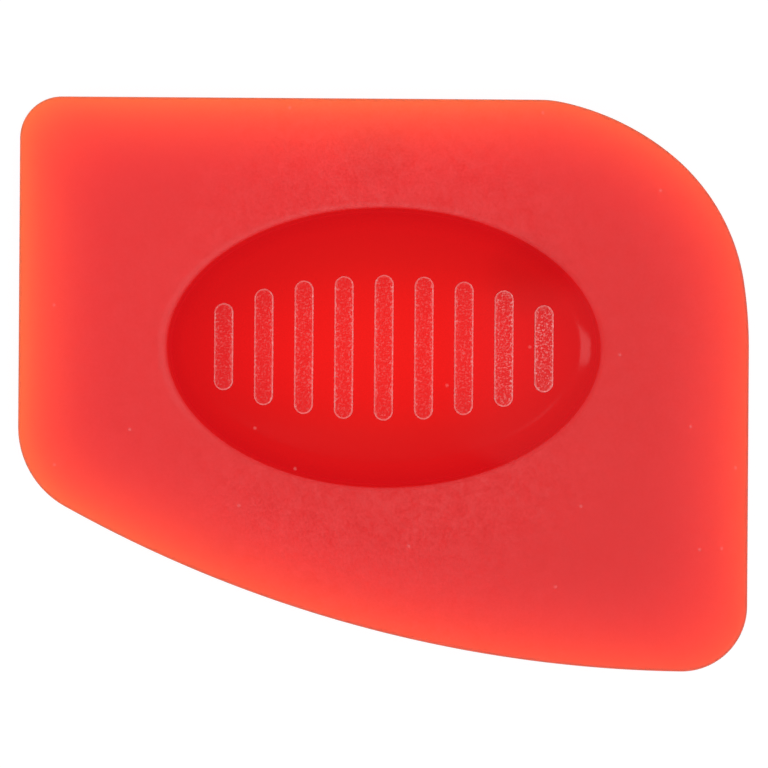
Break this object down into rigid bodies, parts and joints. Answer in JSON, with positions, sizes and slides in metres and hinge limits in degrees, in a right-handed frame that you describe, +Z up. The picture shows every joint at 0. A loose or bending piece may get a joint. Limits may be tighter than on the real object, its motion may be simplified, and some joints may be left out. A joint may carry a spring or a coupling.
{
  "type": "pan scraper",
  "caption": "Translucent one-piece hand scraper for pans, thick in the middle with tapered edges, corners of several radii and an oval thumb dish on each face.",
  "frame": {"origin": "on the surface that the scraper lies on, under the middle of its box", "axes": "+X along the length towards the rounded shoulder and the toe, +Y across the width towards the long straight edge, +Z up out of the face that has the ribbed dish"},
  "size_m": [0.11, 0.086, 0.0058],
  "materials": {
    "red_polycarbonate": "translucent red polycarbonate, frosted by a fine spark-eroded mould texture, with polished thumb dishes"
  },
  "bodies": {
    "root": {"scraper_body": "red_polycarbonate"}
  },
  "joints": []
}
